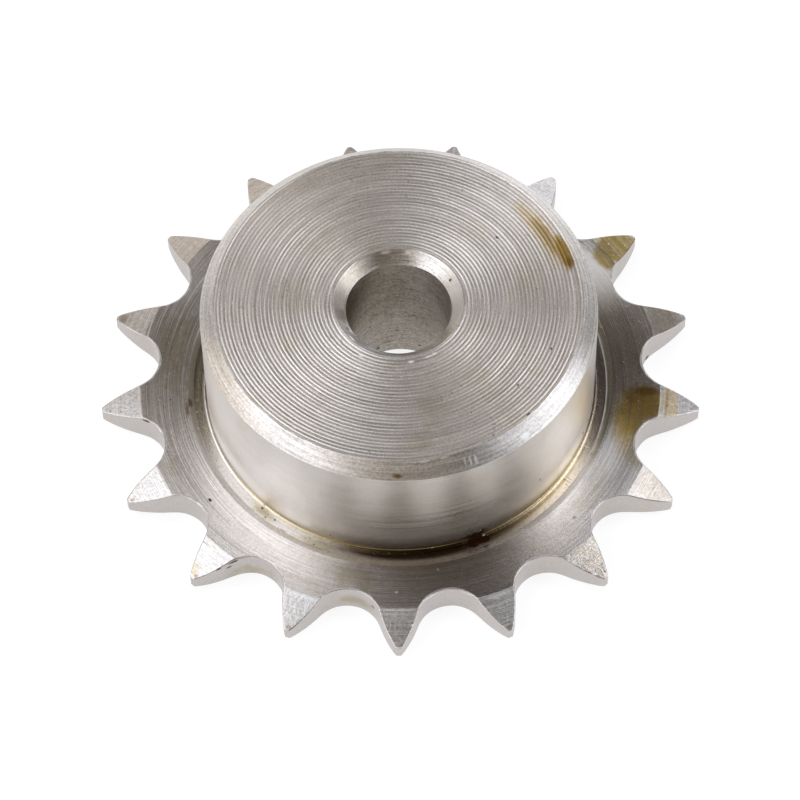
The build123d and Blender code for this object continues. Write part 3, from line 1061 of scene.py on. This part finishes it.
        tip_corner = len(seat) + len(flank) - 1
        normal[tip_corner] = unit(normal[tip_corner] + tip_normal[0])
        half[tip_corner] -= self.tip_break * normal[tip_corner]
        mirror = np.array([1.0, -1.0])
        return (np.concatenate([half[:0:-1] * mirror, half[:-1]]),
                np.concatenate([normal[:0:-1] * mirror, normal[:-1]]))

    def plate_height(self, radius: np.ndarray) -> np.ndarray:
        """Work out the front surface: flat, then falling along the bevel, with the crease rounded.

        The fall is that of a straight bevel at (p + sqrt(p^2 + rounding^2)) / 2, with p the radius past the
        crease.

        Args:
            radius: The radii of the points.

        Returns:
            Their heights.
        """
        past = radius - self.bevel_start
        ramp = (past + np.sqrt(past**2 + self.crease_rounding**2)) / 2
        return self.front - ramp * self.bevel_depth / self.bevel_width

    def rim_skin(self, outline: np.ndarray, normal: np.ndarray) -> tuple[np.ndarray, np.ndarray]:
        """Carry the outline of the teeth from the plate's front over the gap walls to the back.

        The first rings are circles, whose vertices turn from even spacing to that of the outline. The next
        ones lie on straight lines from a foot on the tooth_start circle to the outline drawn in by the width
        of the broken edge, which wanders. Then come that edge and the walls, and the same way back behind.

        Args:
            outline: The outline of one gap.
            normal: Its normals.

        Returns:
            The points in rings, and the number of the finish of each band between two rings.
        """
        middle = (np.arange(self.tooth_count) + 0.5)[:, None] * self.step
        ahead = np.stack([np.sin(middle), -np.cos(middle)], axis=-1)
        aside = np.stack([np.cos(middle), np.sin(middle)], axis=-1)

        def placed(local: np.ndarray) -> np.ndarray:
            """Turn local points of one gap to all the gaps' places."""
            return (local[None, :, :1] * ahead + local[None, :, 1:] * aside).reshape(-1, 2)

        rim, outward = placed(outline), placed(normal)
        columns = len(rim)
        even = np.arange(columns) * 2 * math.pi / columns
        turn = (middle + np.arctan2(outline[:, 1], outline[:, 0])[None]).ravel()
        width = self.edge_break + self.edge_wander * self.wobble(columns, columns // 3)
        inset = rim - width[:, None] * outward
        foot = self.tooth_start * np.stack([np.sin(turn), -np.cos(turn)], axis=-1)
        reach = np.linalg.norm(inset, axis=-1)
        span = reach - self.tooth_start
        crease = np.clip((self.bevel_start - self.tooth_start) / span, 0, 1 - self.least_bevel / span)
        top = self.plate_height(reach)

        def flat(side: int, past: bool, share: float) -> np.ndarray:
            """Lay a ring on the plate or the bevel.

            Args:
                side: 1 in front and -1 behind.
                past: Whether the ring lies past the crease, on the bevel.
                share: How far along the plate or the bevel it lies.

            Returns:
                The ring's points.
            """
            way = crease + (1 - crease) * share if past else crease * share
            level = foot + (inset - foot) * way[:, None]
            return np.column_stack([level, side * self.plate_height(np.linalg.norm(level, axis=-1))])

        def edge(side: int, out: float, down: float) -> np.ndarray:
            """Return the ring of the broken edge at shares of its width out and down."""
            return np.column_stack([inset + (rim - inset) * out, side * (top - width * down)])

        rings = [(turned(radius, self.front, even + (turn - even) * share), Finish.PLATE)
                 for radius, share in self.turning_in]
        rings += [(flat(1, False, share), Finish.PLATE) for share in self.plate_shares]
        rings += [(flat(1, True, share), Finish.BEVEL) for share in self.bevel_shares]
        rings += [(edge(1, out, down), Finish.GAP) for out, down in self.edge_steps]
        rings += [(np.column_stack([rim, (top - width) * level]), Finish.GAP) for level in self.wall_levels]
        rings += [(edge(-1, out, down), Finish.GAP) for out, down in self.edge_steps[::-1]]
        rings += [(edge(-1, 0, 0), Finish.BEVEL)]
        rings += [(flat(-1, True, share), Finish.BEVEL) for share in self.back_bevel_shares]
        rings += [(flat(-1, False, share), Finish.BACK) for share in self.back_shares]
        rings += [(turned(self.turning_in[0][0], self.back, even), Finish.BACK)]
        return np.array([ring for ring, _ in rings]), np.array([finish.value for _, finish in rings[:-1]])

    def build(self) -> bpy.types.Object:
        """Join the hub's skin and the rim's in one closed mesh.

        Returns:
            The sprocket's object.
        """
        outline, normal = self.gap_outline()
        fine = self.tooth_count * len(outline)
        coarse = fine // 3
        hub, hub_finish = self.hub_skin(coarse)
        rim, rim_finish = self.rim_skin(outline, normal)
        rim_first = len(hub) * coarse
        front_quads, front_triangles = seam_faces(rim_first - coarse, rim_first, coarse)
        back_quads, back_triangles = seam_faces(0, rim_first + (len(rim) - 1) * fine, coarse)
        quads = np.concatenate([ring_faces(0, len(hub), coarse), ring_faces(rim_first, len(rim), fine),
                                front_quads, back_quads[:, ::-1]])
        triangles = np.concatenate([front_triangles, back_triangles[:, ::-1]])
        seams = [Finish.PLATE.value, Finish.BACK.value]
        finish = np.concatenate([np.repeat(hub_finish, coarse), np.repeat(rim_finish, fine),
                                 np.repeat(seams, coarse), np.repeat(seams, 2 * coarse)])
        points = np.concatenate([hub.reshape(-1, 3), rim.reshape(-1, 3)])
        return new_object("sprocket_body", points, quads, triangles, finish)

    def dress(self, body: bpy.types.Object) -> None:
        """Give each machined surface its steel, in the order in which the mesh counts them."""
        for finish in Finish:
            body.data.materials.append(SteelShader(finish, STEEL[finish]).build())


@dataclass(frozen=True)
class SoftBox:
    """A soft light panel far from the sprocket, with its middle and its angular size in degrees.

    The azimuth is 0 in front, on the -Y side, and grows towards +X. Warm panels are the dimmer ones that
    fill the shade, and one with a strength below 0 takes light away. The feather is how far the panel's
    edge fades, as a share of its half width and half height.
    """

    azimuth: float
    elevation: float
    width: float
    height: float
    strength: float
    warm: bool = False
    feather: float = 0.6

    def glow(self, graph: Graph, direction: Socket) -> Socket:
        """Shine the panel on the sky.

        The direction is carried onto the panel's plane, where its places across and up, divided by its
        part along the panel's axis, are held against the half width and the half height.

        Args:
            graph: The world's node tree.
            direction: The direction looked in, of length one.

        Returns:
            The panel's strength in that direction.
        """
        turn, lift = math.radians(self.azimuth), math.radians(self.elevation)
        ahead = (math.cos(lift) * math.sin(turn), -math.cos(lift) * math.cos(turn), math.sin(lift))
        aside = (math.cos(turn), math.sin(turn), 0.0)
        above = (-math.sin(lift) * math.sin(turn), math.sin(lift) * math.cos(turn), math.cos(lift))
        along = graph.math("MAXIMUM", graph.vector("DOT_PRODUCT", direction, ahead), 0.01)
        glow: Link = self.strength
        for axis, angle in ((aside, self.width), (above, self.height)):
            reach = math.tan(math.radians(angle / 2))
            place = graph.math("DIVIDE", graph.vector("DOT_PRODUCT", direction, axis), along)
            away = graph.math("ABSOLUTE", place)
            edge = graph.smooth(away, reach * (1 + self.feather), reach * (1 - self.feather))
            glow = graph.math("MULTIPLY", edge, glow)
        return glow


SOFT_BOXES = (
    SoftBox(azimuth=262, elevation=60, width=36, height=30, strength=1.15),
    SoftBox(azimuth=302, elevation=32, width=46, height=30, strength=1.75),
    SoftBox(azimuth=275, elevation=8, width=50, height=20, strength=1.4, warm=True),
    SoftBox(azimuth=98, elevation=47, width=26, height=26, strength=2.6),
    SoftBox(azimuth=75, elevation=9, width=46, height=24, strength=2.7),
    SoftBox(azimuth=160, elevation=17, width=22, height=24, strength=3.4),
    SoftBox(azimuth=206, elevation=14, width=36, height=24, strength=1.05, warm=True),
    SoftBox(azimuth=0, elevation=17, width=60, height=20, strength=0.7, warm=True),
    SoftBox(azimuth=238, elevation=76, width=22, height=18, strength=1.2),
    SoftBox(azimuth=132, elevation=61, width=22, height=18, strength=1.5),
    SoftBox(azimuth=198, elevation=35, width=20, height=14, strength=1.0, warm=True),
    SoftBox(azimuth=112, elevation=58, width=20, height=16, strength=1.9),
    SoftBox(azimuth=245, elevation=48, width=24, height=18, strength=1.9),
    SoftBox(azimuth=290, elevation=56, width=24, height=20, strength=2.35),
    SoftBox(azimuth=150, elevation=32, width=20, height=16, strength=1.0),
    SoftBox(azimuth=330, elevation=30, width=30, height=24, strength=0.4, warm=True),
    SoftBox(azimuth=212, elevation=62, width=18, height=14, strength=0.5, warm=True),
    SoftBox(azimuth=216, elevation=48, width=22, height=20, strength=0.2, warm=True),
    SoftBox(azimuth=226, elevation=62, width=18, height=14, strength=1.15),
    SoftBox(azimuth=48, elevation=26, width=20, height=20, strength=0.45),
    SoftBox(azimuth=178, elevation=56, width=36, height=26, strength=-0.03, warm=True),
)


@dataclass
class Studio:
    """The pale floor, the soft light and the camera.

    The floor's size is half its side in metres, and its gap to the sprocket is in millimetres, as are the
    camera's lens, sensor and distance.
    """

    ambient: tuple[float, float, float] = (0.053, 0.042, 0.034)
    panel_colour: tuple[float, float, float] = (0.965, 1.0, 1.08)
    warm_colour: tuple[float, float, float] = (1.11, 1.0, 0.87)
    soft_boxes: tuple[SoftBox, ...] = SOFT_BOXES
    floor_size: float = 1.0
    floor_gap: float = 0.02
    floor_albedo: float = 0.25
    camera_glow: float = 0.85
    mirror_glow: float = 0.74
    lens: float = 178.634
    sensor: float = 36.0
    distance: float = 313.959
    elevation: float = 57.967
    azimuth: float = 1.3616
    aim: tuple[float, float, float] = (-0.0235, 0.0093, -1.2205)

    def light(self) -> None:
        """Light the scene with the soft boxes on a dim even sky, which the camera sees as white."""
        world = bpy.data.worlds.new("studio")
        bpy.context.scene.world = world
        world.use_nodes = True
        graph = Graph(world.node_tree)
        direction = graph.node("ShaderNodeTexCoord").outputs["Generated"]
        plain: Link = graph.node("ShaderNodeLightPath").outputs["Is Camera Ray"]
        warm: Link = 0.0
        for soft_box in self.soft_boxes:
            glow = soft_box.glow(graph, direction)
            if soft_box.warm:
                warm = graph.math("ADD", glow, warm)
            else:
                plain = graph.math("ADD", glow, plain)
        sky: Link = self.ambient
        for glow, colour in ((plain, self.panel_colour), (warm, self.warm_colour)):
            sky = graph.vector("MULTIPLY_ADD", graph.combine(glow, glow, glow), colour, sky)
        graph.feed(world.node_tree.nodes["Background"].inputs["Color"], sky)

    def lay_floor(self) -> None:
        """Lay the pale floor just under the sprocket, which the camera and the steel see as white."""
        low, size = CAD_BOX[0].z - self.floor_gap * MM, self.floor_size
        corners = [(-size, -size, low), (size, -size, low), (size, size, low), (-size, size, low)]
        mesh = bpy.data.meshes.new("floor")
        mesh.from_pydata(corners, [], [(0, 1, 2, 3)])
        material = bpy.data.materials.new("floor_white")
        material.use_nodes = True
        graph = Graph(material.node_tree)
        shader = material.node_tree.nodes["Principled BSDF"].inputs
        path = graph.node("ShaderNodeLightPath").outputs
        glow = graph.math("ADD", graph.math("MULTIPLY", path["Is Camera Ray"], self.camera_glow),
                          graph.math("MULTIPLY", path["Is Glossy Ray"], self.mirror_glow))
        graph.feed(shader["Base Color"], (*[self.floor_albedo] * 3, 1))
        graph.feed(shader["Roughness"], 1.0)
        graph.feed(shader["Specular IOR Level"], 0.0)
        graph.feed(shader["Emission Color"], (1, 1, 1, 1))
        graph.feed(shader["Emission Strength"], glow)
        mesh.materials.append(material)
        floor = bpy.data.objects.new("floor", mesh)
        bpy.context.scene.collection.objects.link(floor)

    def set_camera(self) -> None:
        """Set the camera in front of the sprocket, looking down on it.

        It stands at the distance from the middle of the plate's back, lifted by the elevation and turned by
        the azimuth, looks at that point, and is then turned by the three small angles about its own axes.
        """
        camera_data = bpy.data.cameras.new("camera")
        camera_data.lens, camera_data.sensor_width = self.lens, self.sensor
        camera = bpy.data.objects.new("camera", camera_data)
        bpy.context.scene.collection.objects.link(camera)
        lift, turn = math.radians(self.elevation), math.radians(self.azimuth)
        level = math.cos(lift)
        away = Vector((level * math.sin(turn), -level * math.cos(turn), math.sin(lift)))
        place = Vector((0, 0, CAD_BOX[0].z)) + self.distance * MM * away
        tilt, swing, roll = (math.radians(angle) for angle in self.aim)
        camera.matrix_world = (Matrix.Translation(place) @ Matrix.Rotation(turn, 4, "Z")
                               @ Matrix.Rotation(math.pi / 2 - lift, 4, "X") @ Matrix.Rotation(swing, 4, "Y")
                               @ Matrix.Rotation(tilt, 4, "X") @ Matrix.Rotation(roll, 4, "Z"))
        bpy.context.scene.camera = camera
        bpy.context.scene.view_settings.view_transform = "Standard"


def main() -> None:
    """Build and dress the sprocket, then set its studio up."""
    logging.basicConfig(level=logging.INFO, format="%(name)s: %(message)s", stream=sys.stdout)
    build_groups()
    sprocket = Sprocket()
    body = sprocket.build()
    sprocket.dress(body)
    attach(body, "root")
    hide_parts("sprocket")
    studio = Studio()
    studio.lay_floor()
    studio.light()
    studio.set_camera()


if __name__ == "__main__":
    main()
